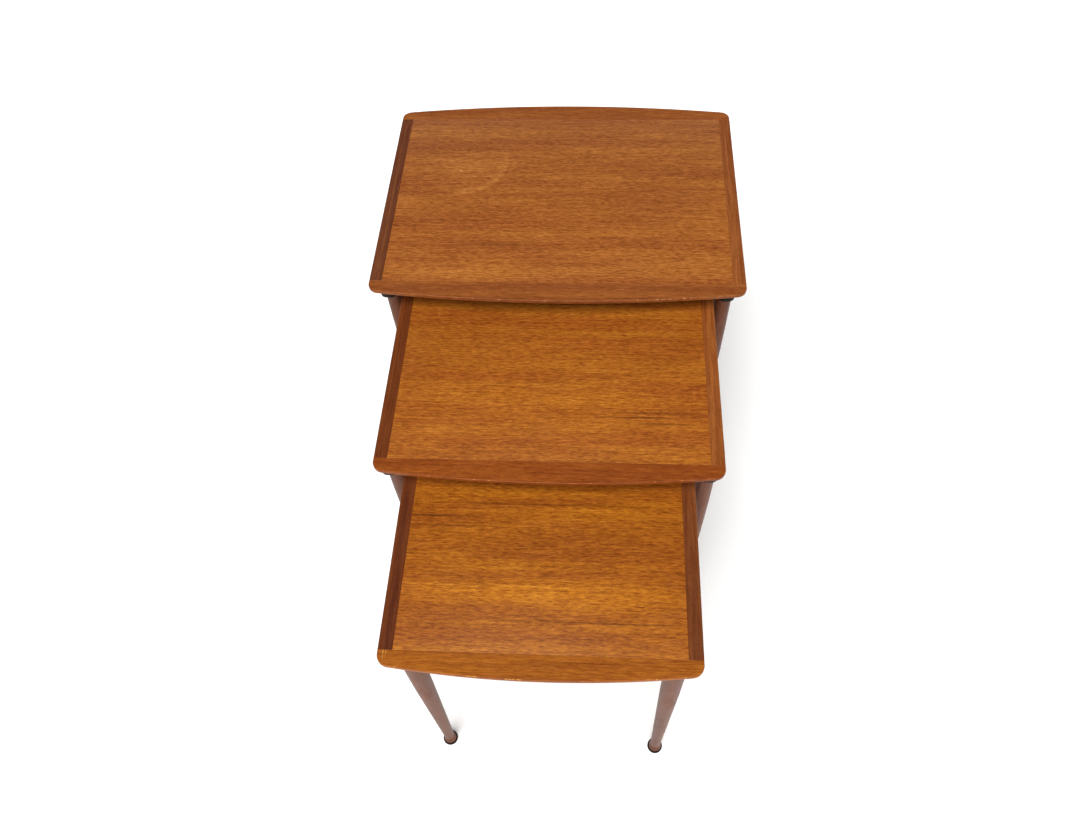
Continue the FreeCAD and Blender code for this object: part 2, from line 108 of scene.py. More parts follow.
class Shader:
    """One procedural material or sky, built node by node."""

    def __init__(self, owner: bpy.types.ID) -> None:
        """Start an empty tree in a new material or world.

        Args:
            owner: the material or world.
        """
        self.owner = owner
        owner.use_nodes = True
        self.tree = owner.node_tree
        self.tree.nodes.clear()

    @classmethod
    def named(cls, name: str) -> "Shader":
        """Start an empty material."""
        return cls(bpy.data.materials.new(name))

    def add(self, kind: str, settings: dict | None = None, inputs: dict | None = None,
            output: int | str = 0) -> Value:
        """Add any node.

        Args:
            kind: the node's type.
            settings: its settings, set before its sockets; "stops" are a ramp's places and colours.
            inputs: a value or a plain number or tuple for each socket, by name or index.
            output: the socket to return.

        Returns:
            The chosen output.
        """
        node = self.tree.nodes.new(kind)
        for key, setting in (settings or {}).items():
            if key == "stops":
                self.set_stops(node.color_ramp, setting)
            else:
                setattr(node, key, setting)
        for key, value in (inputs or {}).items():
            if isinstance(value, Value):
                self.tree.links.new(value.socket, node.inputs[key])
            else:
                node.inputs[key].default_value = value
        return Value(self, node.outputs[output])

    @staticmethod
    def set_stops(ramp: bpy.types.ColorRamp, stops: tuple[tuple[float, Colour], ...]) -> None:
        """Give a colour ramp its places and colours.

        Args:
            ramp: the ramp.
            stops: a place from 0 to 1 and a colour for each stop.
        """
        while len(ramp.elements) < len(stops):
            ramp.elements.new(0.5)
        for element, (place, colour) in zip(ramp.elements, stops):
            element.position = place
            element.color = (*colour, 1.0)

    def place(self) -> Value:
        """The place on the object, in metres."""
        return self.add("ShaderNodeTexCoord", None, None, "Object")

    def scaled(self, vector: Value, factor: float) -> Value:
        """A vector times a number."""
        return self.add("ShaderNodeVectorMath", {"operation": "SCALE"}, {0: vector, "Scale": factor})

    def mix(self, share: Value | float, first: Value | Colour, second: Value | Colour) -> Value:
        """Blend two colours, the second by its share."""
        pair = [item if isinstance(item, Value) else (*item, 1.0) for item in (first, second)]
        return self.add("ShaderNodeMix", {"data_type": "RGBA", "clamp_factor": True},
                        {0: share, 6: pair[0], 7: pair[1]}, 2)

    def noise(self, place: Value, detail: float = 2.0, roughness: float = 0.5) -> Value:
        """Smooth noise from 0 to 1, one lump to a unit of place."""
        return self.add("ShaderNodeTexNoise", None,
                        {"Vector": place, "Scale": 1.0, "Detail": detail, "Roughness": roughness}, "Fac")

    def finish(self, colour: Value | Colour, roughness: Value | float, height: Value | None = None,
               relief_mm: float = 0.1, **constants: float) -> bpy.types.Material:
        """Close the material with a Principled shader.

        Args:
            colour: the base colour.
            roughness: how dull it is.
            height: a relief from 0 to 1.
            relief_mm: how deep the relief is.
            constants: sockets that are the same all over, with spaces as underscores.

        Returns:
            The finished material.
        """
        inputs = {"Base Color": colour if isinstance(colour, Value) else (*colour, 1.0),
                  "Roughness": roughness}
        inputs.update({name.replace("_", " "): number for name, number in constants.items()})
        if height is not None:
            inputs["Normal"] = self.add("ShaderNodeBump", None,
                                        {"Strength": 1.0, "Distance": relief_mm * MM, "Height": height})
        surface = self.add("ShaderNodeBsdfPrincipled", None, inputs)
        self.add_output(surface)
        return self.owner

    def add_output(self, surface: Value, kind: str = "ShaderNodeOutputMaterial") -> None:
        """Lead a shader to an output node."""
        output = self.tree.nodes.new(kind)
        self.tree.links.new(surface.socket, output.inputs["Surface"])


# ---- finishes


class Grain(Enum):
    """The axis that a piece's grain runs along, with the order of its along, across and into axes."""

    SIDEWAYS = ("X", "Y", "Z")
    FORWARDS = ("Y", "X", "Z")
    UPRIGHT = ("Z", "X", "Y")


class Tone(Enum):
    """What a patch of a timber is like beside the wood round it, as shares of the wood's golden colour."""

    GOLD = (1.22, 1.30, 1.10)
    RED = (0.80, 0.70, 0.80)
    DARK = (0.38, 0.32, 0.30)
    PALE = (1.30, 1.45, 1.75)
    BARE = (1.70, 2.90, 6.50)


@dataclass(frozen=True)
class Patch:
    """A soft oval of another tone. Places are millimetres from the middle of the top.

    A ring shows only its rim, strongest towards +x and -y, as a mark left by something round does.
    """

    along: float
    across: float
    half_length: float
    half_width: float
    tone: Tone
    share: float
    ring: bool = False


@dataclass(frozen=True)
class Figure:
    """One layer of a wood's figure: noise whose lumps are so many millimetres long and wide.

    The shift moves it to a part of the noise that no other layer reads. Detail is its octaves of finer
    noise, and roughness how strong they are.
    """

    length: float
    width: float
    shift: float
    detail: float
    roughness: float = 0.55


SWAY = Figure(170.0, 55.0, 1.7, 1.0)
SWAY_MM = 5.0
WAVER = Figure(13.0, 6.0, 5.1, 1.0)
WAVER_MM = 2.2
BAND_LENGTH = 330.0
STREAK_LENGTH = 70.0
PORES = Figure(5.0, 0.75, 21.7, 1.0)
LINES = Figure(190.0, 1.7, 31.1, 1.0)
SCUFFS = Figure(42.0, 26.0, 41.3, 4.0, 0.7)
RAGGED_RIM = Figure(24.0, 6.0, 51.0, 3.0)

# The levels of noise, of wear or of a patch's reach between which each thing comes in.
BAND_LEVELS = (0.36, 0.64)
PORE_LEVELS = (0.56, 0.72)
LINE_LEVELS = (0.68, 0.78)
SCUFF_LEVELS = (0.45, 0.75)
WORN_LEVELS = (0.25, 0.75)
OVAL_LEVELS = (1.2, 0.2)
RING_INSIDE = (0.80, 0.97)
RING_OUTSIDE = (1.05, 0.98)
RING_SIDE = (0.35, 1.1)

# How much each layer counts, in the brightness, the roughness, the relief or an edge.
DASH_SHARE = 0.68
PORE_DARKNESS = 0.30
FRAY = 0.9
ROW_DULLNESS = 0.12
SCUFF_DULLNESS = 0.10
WORN_DULLNESS = 0.25
ROW_RELIEF = 0.6
PORE_RELIEF = 0.5
RELIEF_MM = 0.04
GREEN_POWER = 1.4
BLUE_POWER = 1.8
ACROSS_SHIFT = 1.9


@dataclass(frozen=True)
class Timber:
    """Lacquered wood with broad bands, wavy rows of short dashes, pores and thin dark lines."""

    name: str
    grain: Grain
    red: Colour
    gold: Colour
    seed: float
    patches: tuple[Patch, ...] = ()
    band_width: float = 24.0
    band_depth: float = 0.15
    row_width: float = 1.6
    row_length: float = 9.0
    row_depth: float = 2.4
    line_share: float = 0.30
    dullness: float = 0.40
    shine: float = 0.20

    def build(self, centre: Vector) -> bpy.types.Material:
        """Make the material for a piece about a centre.

        Args:
            centre: where its patches are measured from.

        Returns:
            The material.
        """
        shader = Shader.named(self.name)
        place = self.grain_axes(shader, centre)
        along, across, into = place
        bent = across + (self.pattern(shader, place, SWAY) - 0.5) * SWAY_MM
        bands = self.pattern(shader, (along, bent, into), Figure(BAND_LENGTH, self.band_width, 0.0, 1.5))
        curled = bent + (self.pattern(shader, place, WAVER) - 0.5) * WAVER_MM
        wavy = (along, curled, into)
        dashes = self.pattern(shader, wavy, Figure(self.row_length, self.row_width, 9.3, 2.0, 0.6))
        streaks = self.pattern(shader, wavy, Figure(STREAK_LENGTH, self.row_width, 15.7, 1.0))
        rows = dashes * DASH_SHARE + streaks * (1 - DASH_SHARE)
        pores = self.pattern(shader, wavy, PORES).between(*PORE_LEVELS)
        lines = self.pattern(shader, wavy, LINES).between(*LINE_LEVELS)
        colour = self.patched(shader, place, shader.mix(bands.between(*BAND_LEVELS), self.red, self.gold))
        brightness = 1.0 + (rows - 0.5) * self.row_depth + (bands - 0.5) * self.band_depth
        brightness = brightness * (1.0 - pores * PORE_DARKNESS) * (1.0 - lines * self.line_share)
        colour = shader.add("ShaderNodeVectorMath", {"operation": "MULTIPLY"},
                            {0: colour, 1: self.redden(shader, brightness)})
        wear = shader.add("ShaderNodeAttribute", {"attribute_name": "wear"}, None, "Fac")
        frayed = (rows - 0.5) * FRAY * wear.between(0.0, WORN_LEVELS[0])
        worn = (wear + frayed).between(*WORN_LEVELS)
        colour = shader.mix(worn, colour, self.toned(Tone.BARE))
        scuffs = self.pattern(shader, place, SCUFFS).between(*SCUFF_LEVELS)
        roughness = self.dullness + (rows - 0.5) * ROW_DULLNESS
        roughness = roughness + scuffs * SCUFF_DULLNESS + worn * WORN_DULLNESS
        height = rows * ROW_RELIEF - pores * PORE_RELIEF
        return shader.finish(colour, roughness, height, RELIEF_MM, Specular_IOR_Level=self.shine)

    def toned(self, tone: Tone) -> Colour:
        """The golden colour times a tone's shares."""
        return tuple(part * share for part, share in zip(self.gold, tone.value))

    def patched(self, shader: Shader, place: tuple[Value, ...], colour: Value) -> Value:
        """Lay the patches over a colour, one after another.

        Args:
            shader: the material.
            place: millimetres along, across and into the wood.
            colour: the wood without them.

        Returns:
            The wood with them.
        """
        if self.patches:
            ragged_rim = self.pattern(shader, place, RAGGED_RIM) - 0.5
            for patch in self.patches:
                share = self.patch_share(patch, place, ragged_rim)
                colour = shader.mix(share, colour, self.toned(patch.tone))
        return colour

    def redden(self, shader: Shader, brightness: Value) -> Value:
        """What to multiply a colour by: higher powers for green and blue, so that dark grain is redder."""
        return shader.add("ShaderNodeCombineXYZ", None, {
            "X": brightness, "Y": brightness ** GREEN_POWER, "Z": brightness ** BLUE_POWER})

    def grain_axes(self, shader: Shader, centre: Vector) -> tuple[Value, ...]:
        """Where a point lies in the wood.

        Args:
            shader: the material.
            centre: where to measure from.

        Returns:
            Millimetres from the centre along the grain, across it and into the wood.
        """
        centred = shader.add("ShaderNodeMapping", None, {
            "Vector": shader.place(), "Location": tuple(-centre / MM), "Scale": (1 / MM,) * 3})
        split = shader.add("ShaderNodeSeparateXYZ", None, {"Vector": centred})
        return tuple(Value(shader, split.socket.node.outputs[axis]) for axis in self.grain.value)

    def pattern(self, shader: Shader, place: tuple[Value, ...], figure: Figure) -> Value:
        """Noise stretched along the grain: distances in lumps, moved by the seed and the figure's shift.

        Args:
            shader: the material.
            place: millimetres along, across and into the wood.
            figure: the size of the lumps and how fine the noise is.

        Returns:
            The noise, from 0 to 1 about 0.5.
        """
        along, across, into = place
        corner = self.seed + figure.shift
        spot = shader.add("ShaderNodeCombineXYZ", None, {
            "X": along / figure.length + corner, "Y": across / figure.width + ACROSS_SHIFT * corner,
            "Z": into / figure.width - corner})
        return shader.noise(spot, figure.detail, figure.roughness)

    def patch_share(self, patch: Patch, place: tuple[Value, ...], ragged_rim: Value) -> Value:
        """How much of a patch shows. Its reach is the distance from its middle, 1 on its oval.

        Args:
            patch: the patch.
            place: millimetres along, across and into the wood.
            ragged_rim: noise about 0 that frays an oval's rim.

        Returns:
            Its share: falling from the middle to a ragged rim, or a band along the rim of a ring.
        """
        right = (place[0] - patch.along) / patch.half_length
        up = (place[1] - patch.across) / patch.half_width
        reach = (right ** 2.0 + up ** 2.0) ** 0.5
        if patch.ring:
            band = reach.between(*RING_INSIDE) * reach.between(*RING_OUTSIDE)
            return band * (right - up).between(*RING_SIDE) * patch.share
        return (reach + ragged_rim * FRAY).between(*OVAL_LEVELS) * patch.share


@dataclass(frozen=True)
class Stain:
    """Dark stained or moulded stuff, rubbed and mottled in lumps of so many millimetres."""

    name: str
    colour: Colour
    rubbed: Colour
    dullness: float
    lump: float = 9.0
    shine: float = 0.08
    rubbed_levels: tuple[float, float] = (0.42, 0.78)
    rubbed_share: float = 0.6
    mottling: float = 0.25
    relief_mm: float = 0.03

    def build(self) -> bpy.types.Material:
        """Make the material.

        Returns:
            The material.
        """
        shader = Shader.named(self.name)
        in_lumps = shader.scaled(shader.place(), 1 / MM / self.lump)
        lumps = shader.noise(in_lumps, 4.0, 0.65)
        fine = shader.noise(shader.scaled(in_lumps, self.lump))
        share = lumps.between(*self.rubbed_levels) * self.rubbed_share
        colour = shader.mix(share, self.colour, self.rubbed)
        roughness = self.dullness + (lumps - 0.5) * self.mottling
        return shader.finish(colour, roughness, fine, self.relief_mm, Specular_IOR_Level=self.shine)


@dataclass(frozen=True)
class Chipboard:
    """The raw panel: pressed flakes of several tones, about 3 mm across, with finer dust between."""

    name: str = "raw_panel"
    flakes_per_metre: float = 330.0
    dust_per_metre: float = 900.0
    tones: tuple[tuple[float, Colour], ...] = (
        (0.0, (0.13, 0.075, 0.036)), (0.45, (0.27, 0.17, 0.088)), (1.0, (0.38, 0.27, 0.16)))
    flake_share: float = 0.7
    flake_relief: float = 0.6
    relief_mm: float = 0.15
    dullness: float = 0.85

    def build(self) -> bpy.types.Material:
        """Make the material.

        Returns:
            The material.
        """
        shader = Shader.named(self.name)
        place = shader.place()
        flakes = shader.add("ShaderNodeTexVoronoi", {"feature": "F1"},
                            {"Vector": place, "Scale": self.flakes_per_metre}, "Color")
        tone = shader.add("ShaderNodeSeparateColor", None, {"Color": flakes})
        dust = shader.noise(shader.scaled(place, self.dust_per_metre), 3.0)
        mixed = tone * self.flake_share + dust * (1 - self.flake_share)
        colour = shader.add("ShaderNodeValToRGB", {"stops": self.tones}, {"Fac": mixed})
        height = tone * self.flake_relief + dust * (1 - self.flake_relief)
        return shader.finish(colour, self.dullness, height, self.relief_mm)


@dataclass(frozen=True)
class DullSteel:
    """Steel of the screws and nails, lightly tarnished."""

    name: str = "dull_steel"
    stains_per_metre: float = 800.0
    bright: Colour = (0.50, 0.48, 0.45)
    tarnished: Colour = (0.27, 0.24, 0.20)
    dullness: float = 0.32
    stain_dullness: float = 0.25
    stain_levels: tuple[float, float] = (0.4, 0.7)
    relief_mm: float = 0.02

    def build(self) -> bpy.types.Material:
        """Make the material.

        Returns:
            The material.
        """
        shader = Shader.named(self.name)
        stains = shader.noise(shader.scaled(shader.place(), self.stains_per_metre), 4.0)
        colour = shader.mix(stains.between(*self.stain_levels), self.bright, self.tarnished)
        roughness = self.dullness + stains * self.stain_dullness
        return shader.finish(colour, roughness, stains, self.relief_mm, Metallic=1.0)


# ---- meshes


def grid_faces(rows: int, columns: int) -> np.ndarray:
    """The faces between closed rings: each vertex, the next one round, and the same two in the next ring.

    Args:
        rows: the number of rings.
        columns: the number of vertices in a ring.

    Returns:
        Four vertex numbers for each face.
    """
    row, column = np.meshgrid(np.arange(rows - 1), np.arange(columns), indexing="ij")
    after = (column + 1) % columns
    corners = (row * columns + column, row * columns + after, (row + 1) * columns + after,
               (row + 1) * columns + column)
    return np.stack([corner.ravel() for corner in corners], axis=1)


def tube(rings: np.ndarray) -> Body:
    """A closed body from equal rings of points, one after another, with a flat face at each end.

    Args:
        rings: rings by points by three.

    Returns:
        The vertices and the faces.
    """
    rows, columns = rings.shape[:2]
    faces = grid_faces(rows, columns).tolist()
    faces.append(list(range(columns)))
    faces.append(list(range((rows - 1) * columns, rows * columns)))
    return rings.reshape(-1, 3), faces


def turned(profile: np.ndarray, sides: int) -> Body:
    """A closed body of revolution about the vertical. A profile point of radius r at height z becomes the
    ring (r cos a, r sin a, z), and a flat face closes each end.

    Args:
        profile: radius and height of each point, from one end on the axis side to the other.
        sides: the number of steps round.

    Returns:
        The vertices and the faces.
    """
    angle = np.linspace(0.0, 2 * math.pi, sides, endpoint=False)
    radius, height = profile[:, :1], profile[:, 1:]
    heights = np.broadcast_to(height, (len(profile), sides))
    return tube(np.stack([radius * np.cos(angle), radius * np.sin(angle), heights], axis=2))


def arc(centre: tuple[float, float], radius: float, start: float, finish: float, steps: int) -> np.ndarray:
    """A circular arc: the centre plus the radius times the cosine and sine of evenly spaced angles."""
    angle = np.linspace(math.radians(start), math.radians(finish), steps)
    return np.stack([centre[0] + radius * np.cos(angle), centre[1] + radius * np.sin(angle)], axis=1)


def make_piece(name: str, points: np.ndarray, faces: list[list[int]], wear: np.ndarray | None = None,
               sharp: float = 32.0) -> bpy.types.Object:
    """Put points and faces into a new object at the origin, with faces turned outwards.

    Args:
        name: the piece's name.
        points: its vertices, where they belong.
        faces: vertex numbers of each face.
        wear: how worn each vertex is, from 0 to 1.
        sharp: edges that turn by more than this many degrees stay crisp.

    Returns:
        The object.
    """
    mesh = bpy.data.meshes.new(name)
    mesh.from_pydata(points.tolist(), [], faces)
    if wear is not None:
        mesh.attributes.new("wear", "FLOAT", "POINT").data.foreach_set("value", wear.astype(np.float32))
    shell = bmesh.new()
    shell.from_mesh(mesh)
    bmesh.ops.recalc_face_normals(shell, faces=shell.faces)
    shell.to_mesh(mesh)
    shell.free()
    mesh.shade_smooth()
    mesh.set_sharp_from_angle(angle=math.radians(sharp))
    mesh.update()
    piece = bpy.data.objects.new(name, mesh)
    bpy.context.scene.collection.objects.link(piece)
    return piece


# ---- sub-assemblies


@dataclass(frozen=True)
class Finishes:
    """Every finish of one table."""

    veneer: Timber
    lip: Timber
    strips: dict[str, Timber]
    apron: Timber
    leg: Timber


@dataclass(frozen=True)
class ChipZone:
    """A stretch of a front edge where the lacquer is knocked off, measured along x from the middle."""

    start_mm: float
    finish_mm: float
    count: int
    depth_mm: float = 0.5


@dataclass(frozen=True)
class Wear:
    """How an upper arris is rubbed and chipped, fading over so many points of its section.

    Rubbing is random, smoothed over a window of sections, and shows above a floor. A chip's length in mm
    and its share of the full depth are drawn from ranges. A chip drops the arris by a share of what it
    takes off the side, and shows bare wood from the bare depth on.
    """

    spread: float = 1.7
    window: int = 9
    margin: int = 20
    rub_floor: float = 0.47
    rub_gain: float = 3.0
    rub_most: float = 0.36
    chip_lengths: tuple[float, float] = (0.5, 1.9)
    chip_depths: tuple[float, float] = (0.3, 1.0)
    drop: float = 0.8
    bare_depth: float = 0.22 * MM


@dataclass(frozen=True)
class EdgeSection:
    """The section shared by lips and strips: a thin upright edge over a slanting undercut."""

    edge_height: float = 5 * MM
    arris: float = 1.1 * MM
    nose: float = 0.7 * MM
    ease: float = 0.25 * MM
    wear_reach: float = 2.2 * MM
    arris_points: int = 7
    nose_points: int = 4

    def outer(self, thickness: float) -> np.ndarray:
        """Inset and height of the outer side, from the top down. The undercut falls one for one, so its
        depth is the thickness less the edge's height.

        Args:
            thickness: of the top.

        Returns:
            An array of insets and heights above the underside.
        """
        undercut = thickness - self.edge_height
        top = arc((self.arris, thickness - self.arris), self.arris, 90, 180, self.arris_points)
        reach = self.nose * math.tan(math.radians(45 / 2))
        side = arc((self.nose, undercut + reach), self.nose, 180, 225, self.nose_points)
        foot = arc((undercut + reach, self.nose), self.nose, 225, 270, self.nose_points)
        return np.concatenate([[(self.wear_reach, thickness)], top, side, foot])


@dataclass
class TableTop:
    """The veneer, lips and strips of one top, worked out from the frame's own boxes."""

    table: str
    finishes: Finishes
    wear_seed: int
    chips: tuple[ChipZone, ...]
    lip_depth: float = 17 * MM
    corner_radius: float = 14 * MM
    corner_points: int = 22
    straight_points: int = 5
    station: float = 1.1 * MM
    strip_station: float = 1.65 * MM
    veneer_step: float = 0.3
    section: EdgeSection = EdgeSection()
    wear: Wear = Wear()

    def __post_init__(self) -> None:
        """Read the top's place and size."""
        low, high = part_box(f"{self.table}_front_lip")
        strip_low, strip_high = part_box(f"{self.table}_left_strip")
        self.centre_y = (strip_low.y + strip_high.y) / 2
        self.half_width = high.x
        self.half_depth = (strip_high.y - strip_low.y) / 2
        self.strip_width = strip_high.x - strip_low.x
        self.bow = strip_low.y - self.lip_depth - low.y
        self.surface = high.z
        self.thickness = high.z - low.z
        self.centre = Vector((0, self.centre_y, self.surface))

    def outline(self) -> tuple[np.ndarray, np.ndarray]:
        """The front lip's outer line about the top's centre, from the left joint to the right one, with the
        way out at each point. The bow is the circle through both corners and the middle, and each corner
        is a circle inside it.

        Returns:
            Points and unit normals.
        """
        half, corner_line = self.half_width, self.half_depth + self.lip_depth
        big = (half ** 2 + self.bow ** 2) / (2 * self.bow)
        big_y = big - self.bow - corner_line
        small, small_x = self.corner_radius, half - self.corner_radius
        small_y = big_y - math.sqrt((big - small) ** 2 - small_x ** 2)
        lean = math.degrees(math.atan2(small_x, big_y - small_y))
        corner, straight = self.corner_points, self.straight_points
        bow_points = int(2 * half / self.station)
        runs = [
            (np.linspace([-half, -self.half_depth], [-half, small_y], straight), 180, 180),
            (arc((-small_x, small_y), small, 180, 270 - lean, corner), 180, 270 - lean),
            (arc((0, big_y), big, 270 - lean, 270 + lean, bow_points), 270 - lean, 270 + lean),
            (arc((small_x, small_y), small, 270 + lean, 360, corner), 270 + lean, 360),
            (np.linspace([half, small_y], [half, -self.half_depth], straight), 360, 360),
        ]
        points = np.concatenate([line[:-1] for line, _, _ in runs] + [runs[-1][0][-1:]])
        angles = np.concatenate([np.radians(np.linspace(start, finish, len(line)))[:-1]
                                 for line, start, finish in runs] + [np.radians([360.0])])
        return points, np.stack([np.cos(angles), np.sin(angles)], axis=1)

    def lip_rings(self, turn: int) -> tuple[np.ndarray, np.ndarray, np.ndarray]:
        """Sections of a lip. The outer side follows the outline's normals, and the inner side slides along
        the straight joint in step with it. The rear lip is the front one turned half round.

        Args:
            turn: 1 for the front lip, -1 for the rear.

        Returns:
            Rings of points about the top's centre at the underside, the normals, and the place along x.
        """
        points, normals = self.outline()
        outer = self.section.outer(self.thickness)
        edge = points[:, None, :] - normals[:, None, :] * outer[None, :, :1]
        inner_x = points[:, 0] * (self.half_width - self.strip_width) / self.half_width
        ease = self.section.ease
        inner = np.stack([np.stack([inner_x, np.full_like(inner_x, -self.half_depth - back)], axis=1)
                          for back in (0.0, 0.0, ease)], axis=1)
        flat = np.concatenate([edge, inner], axis=1)
        heights = np.concatenate([outer[:, 1], [0.0, self.thickness - ease, self.thickness]])
        level = np.broadcast_to(heights[None, :, None], (*flat.shape[:2], 1))
        rings = np.concatenate([flat, level], axis=2)
        spun = rings * np.array([turn, turn, 1])
        return spun, normals * turn, points[:, 0] * turn

    def wear_edge(self, rings: np.ndarray, normals: np.ndarray, along: np.ndarray,
                  zones: tuple[ChipZone, ...], seed: int) -> np.ndarray:
        """Knock small chips out of the top arris, and say how worn each vertex is. Each chip is a bell of
        its own length and depth that moves the arris inwards and down.

        Args:
            rings: sections, changed in place.
            normals: the way out of each section.
            along: the place of each section along the edge.
            zones: where the chips are.
            seed: of the random draws.

        Returns:
            Wear of each vertex.
        """
        draws = np.random.default_rng(seed)
        wear, margin = self.wear, self.wear.margin
        middle = 1 + (self.section.arris_points - 1) / 2
        arris = np.exp(-((np.arange(rings.shape[1]) - middle) / wear.spread) ** 2)
        rough = draws.random(len(rings) + 2 * margin)
        soft = np.convolve(rough, np.ones(wear.window) / wear.window, "same")[margin:-margin]
        rubbed = np.clip((soft - wear.rub_floor) * wear.rub_gain, 0.0, wear.rub_most)
        chipped = np.zeros(len(rings))
        for zone in zones:
            centres = draws.uniform(zone.start_mm, zone.finish_mm, zone.count)[:, None] * MM
            lengths = draws.uniform(*wear.chip_lengths, zone.count)[:, None] * MM
            depths = draws.uniform(*wear.chip_depths, zone.count)[:, None] * zone.depth_mm * MM
            bells = depths * np.exp(-((along[None, :] - centres) / lengths) ** 2)
            chipped = np.maximum(chipped, bells.max(axis=0))
        move = chipped[:, None] * arris[None, :]
        rings[:, :, :2] -= normals[:, None, :] * move[:, :, None]
        rings[:, :, 2] -= move * wear.drop
        worn = rubbed[:, None] * arris[None, :] + np.clip(move / wear.bare_depth, 0.0, 1.0)
        return np.clip(worn, 0.0, 1.0).ravel()

    def make_lip(self, end: str) -> bpy.types.Object:
        """The bowed lip at one end.

        Args:
            end: "front" or "rear".

        Returns:
            The piece.
        """
        rings, normals, along = self.lip_rings(-ENDS[end])
        zones = self.chips if end == "front" else ()
        wear = self.wear_edge(rings, normals, along, zones, self.wear_seed + ENDS[end])
        points, faces = tube(rings + np.array([0, self.centre_y, self.surface - self.thickness]))
        return make_piece(f"{self.table}_{end}_lip_shaped", points, faces, wear)

    def make_strip(self, side: str) -> bpy.types.Object:
        """The straight strip at one side, with the lips' own section and eased ends.

        Args:
            side: "left" or "right".

        Returns:
            The piece.
        """
        sign, ease = SIDES[side], self.section.ease
        inner_run = np.arange(-self.half_depth + ease, self.half_depth - ease, self.strip_station)
        run = np.concatenate([[-self.half_depth], inner_run, [self.half_depth]])
        outer = self.section.outer(self.thickness)
        inset = np.concatenate([outer[:, 0], [self.strip_width, self.strip_width, self.strip_width - ease]])
        height = np.concatenate([outer[:, 1], [0.0, self.thickness - ease, self.thickness]])
        x = np.broadcast_to(sign * (self.half_width - inset), (len(run), len(inset)))
        lowered = np.where(np.isin(np.arange(len(run)), (0, len(run) - 1)), ease, 0.0)
        z = np.minimum(height[None, :], self.thickness - lowered[:, None])
        rings = np.stack([x, np.broadcast_to(run[:, None], x.shape), z], axis=2)
        normals = np.broadcast_to(np.array([float(sign), 0.0]), (len(run), 2))
        wear = self.wear_edge(rings, normals, run, (), 2 * self.wear_seed + sign)
        points, faces = tube(rings + np.array([0, self.centre_y, self.surface - self.thickness]))
        return make_piece(f"{self.table}_{side}_strip_shaped", points, faces, wear)

    def make_veneer(self) -> bpy.types.Object:
        """The face veneer: rectangles stacked from the glue line up, the upper ones drawn in at the rim.

        Returns:
            The piece.
        """
        low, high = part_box(f"{self.table}_face_veneer")
        ease = self.section.ease
        step = self.veneer_step * ease
        inset = np.array([0.0, 0.0, step, ease])
        height = np.array([low.z, high.z - ease, high.z - step, high.z])
        half = np.array([(high.x - low.x) / 2, (high.y - low.y) / 2])
        signs = np.array([(-1, -1), (1, -1), (1, 1), (-1, 1)])
        flat = signs[None, :, :] * (half - inset[:, None])[:, None, :]
        rings = np.concatenate([flat, np.broadcast_to(height[:, None, None], (4, 4, 1))], axis=2)
        points, faces = tube(rings + np.array([0, self.centre_y, 0]))
        return make_piece(f"{self.table}_face_veneer_eased", points, faces)

    def build(self) -> None:
        """Make, dress and place every visible piece of the top."""
        body = f"{self.table}_table"
        place_piece(self.make_veneer(), body, f"{self.table}_face_veneer",
                    self.finishes.veneer.build(self.centre))
        lip_finish = self.finishes.lip.build(self.centre)
        for end in ENDS:
            place_piece(self.make_lip(end), body, f"{self.table}_{end}_lip", lip_finish)
        for side in SIDES:
            place_piece(self.make_strip(side), body, f"{self.table}_{side}_strip",
                        self.finishes.strips[side].build(self.centre))


def place_piece(piece: bpy.types.Object, body: str, node: str,
                finish: bpy.types.Material) -> None:
    """Give a piece its finish and let it ride on its body in place of a node of the frame.

    Args:
        piece: the new piece.
        body: the body that it rides on.
        node: the node that it stands for.
        finish: its material.
    """
    piece.data.materials.append(finish)
    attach(piece, body)
    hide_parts(node)
    log.info("%s replaces %s on %s", piece.name, node, body)


